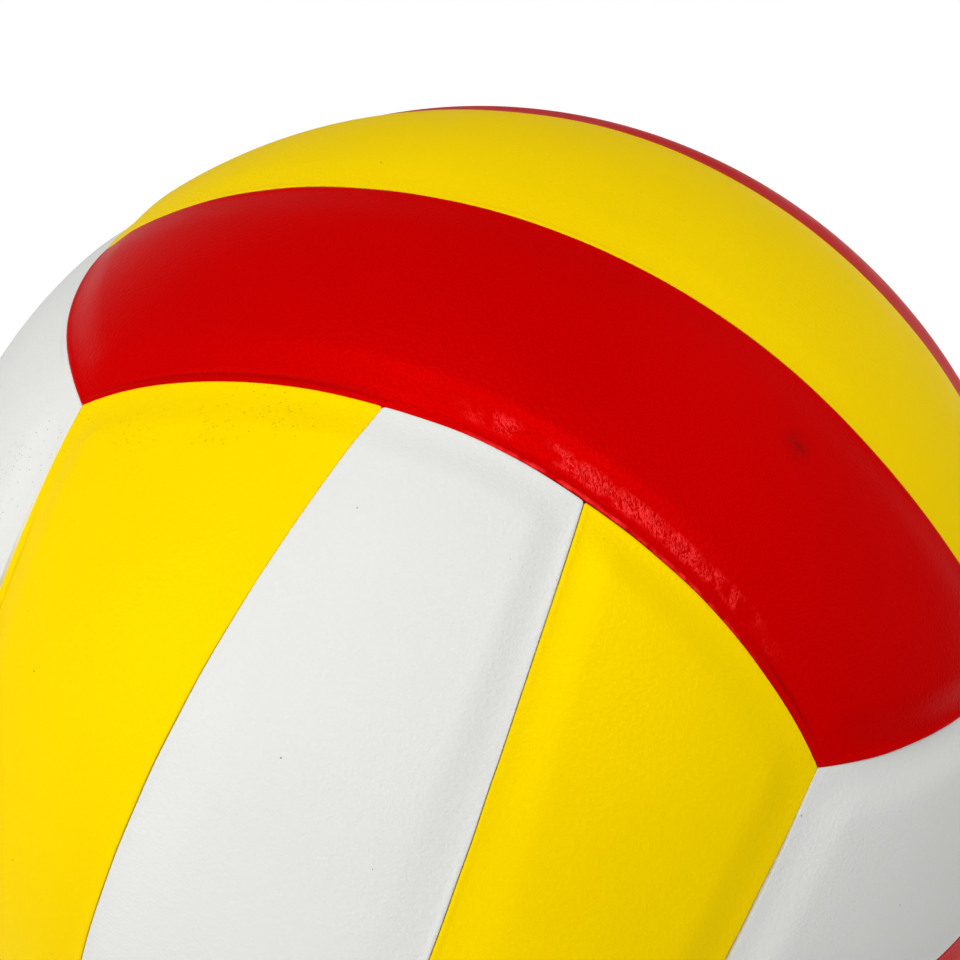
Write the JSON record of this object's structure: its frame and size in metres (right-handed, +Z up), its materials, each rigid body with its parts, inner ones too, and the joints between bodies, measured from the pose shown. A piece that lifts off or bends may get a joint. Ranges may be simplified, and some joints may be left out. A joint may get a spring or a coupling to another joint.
{
  "type": "volleyball",
  "caption": "Inflated indoor volleyball: padded strips of soft synthetic leather in yellow, white and red, sewn edge to edge over a rubber bladder with a needle valve.",
  "frame": {"origin": "centre of the ball", "axes": "+Z up through the top face, -Y out of the front face, +Y out of the valve in the back face"},
  "size_m": [0.21, 0.21, 0.21],
  "materials": {
    "yellow_cover": "soft satin grain",
    "white_cover": "soft satin grain",
    "red_cover": "soft satin grain",
    "foam": "closed-cell foam",
    "thread": "waxed polyester thread",
    "bladder_rubber": "matt",
    "valve_rubber": "matt",
    "valve_core_rubber": "satin",
    "patch_cloth": "woven"
  },
  "bodies": {
    "root": {"front_left_panel": "yellow_cover", "front_left_foam": "foam", "front_middle_panel": "white_cover", "front_middle_foam": "foam", "front_right_panel": "yellow_cover", "front_right_foam": "foam", "back_left_panel": "yellow_cover", "back_left_foam": "foam", "back_middle_panel": "white_cover", "back_middle_foam": "foam", "back_right_panel": "yellow_cover", "back_right_foam": "foam", "top_front_panel": "red_cover", "top_front_foam": "foam", "top_middle_panel": "yellow_cover", "top_middle_foam": "foam", "top_back_panel": "red_cover", "top_back_foam": "foam", "bottom_front_panel": "red_cover", "bottom_front_foam": "foam", "bottom_middle_panel": "yellow_cover", "bottom_middle_foam": "foam", "bottom_back_panel": "red_cover", "bottom_back_foam": "foam", "left_lower_panel": "white_cover", "left_lower_foam": "foam", "left_middle_panel": "red_cover", "left_middle_foam": "foam", "left_upper_panel": "white_cover", "left_upper_foam": "foam", "right_lower_panel": "white_cover", "right_lower_foam": "foam", "right_middle_panel": "red_cover", "right_middle_foam": "foam", "right_upper_panel": "white_cover", "right_upper_foam": "foam", "seam_thread": "thread", "bladder": "bladder_rubber", "valve_housing": "valve_rubber", "valve_core": "valve_core_rubber", "valve_patch": "patch_cloth"}
  },
  "joints": []
}
